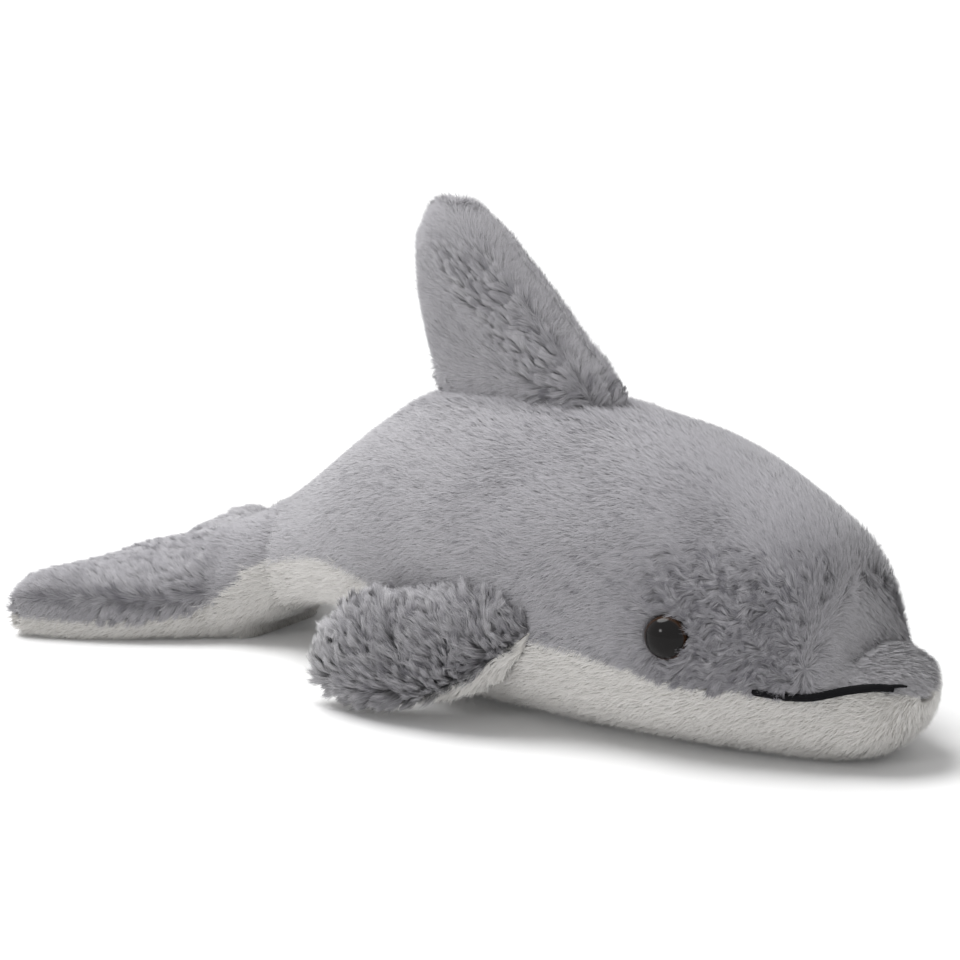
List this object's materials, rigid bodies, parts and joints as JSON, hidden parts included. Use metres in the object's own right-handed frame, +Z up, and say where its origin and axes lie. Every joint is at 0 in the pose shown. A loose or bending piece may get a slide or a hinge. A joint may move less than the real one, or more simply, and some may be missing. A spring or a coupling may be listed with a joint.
{
  "type": "plush dolphin",
  "caption": "Stuffed plush dolphin lying on its belly, with a tall dorsal fin, shaggy flippers, spread tail flukes, a short beak and domed plastic eyes.",
  "frame": {"origin": "centre of the bounding box on the surface the toy lies on", "axes": "+X towards the snout, +Y towards the animal's left, +Z up from the surface it lies on"},
  "size_m": [0.2792, 0.1136, 0.1337],
  "materials": {
    "grey_plush": "long pile, matte",
    "white_plush": "short pile, matte",
    "fibre_filling": "loose fibre",
    "eye_plastic": "polished",
    "washer_nylon": "moulded",
    "black_thread": "embroidery thread"
  },
  "bodies": {
    "root": {"body_side_right": "grey_plush", "body_side_left": "grey_plush", "belly_panel": "white_plush", "body_filling": "fibre_filling", "dorsal_fin_left_panel": "grey_plush", "dorsal_fin_right_panel": "grey_plush", "dorsal_fin_filling": "fibre_filling", "tail_fluke_top": "grey_plush", "tail_fluke_under": "white_plush", "tail_fluke_filling": "fibre_filling", "flipper_right_top": "grey_plush", "flipper_right_under": "white_plush", "flipper_right_filling": "fibre_filling", "flipper_left_top": "grey_plush", "flipper_left_under": "white_plush", "flipper_left_filling": "fibre_filling", "eye_right": "eye_plastic", "eye_left": "eye_plastic", "eye_washer_right": "washer_nylon", "eye_washer_left": "washer_nylon", "mouth_line_right": "black_thread", "mouth_line_left": "black_thread"}
  },
  "joints": []
}
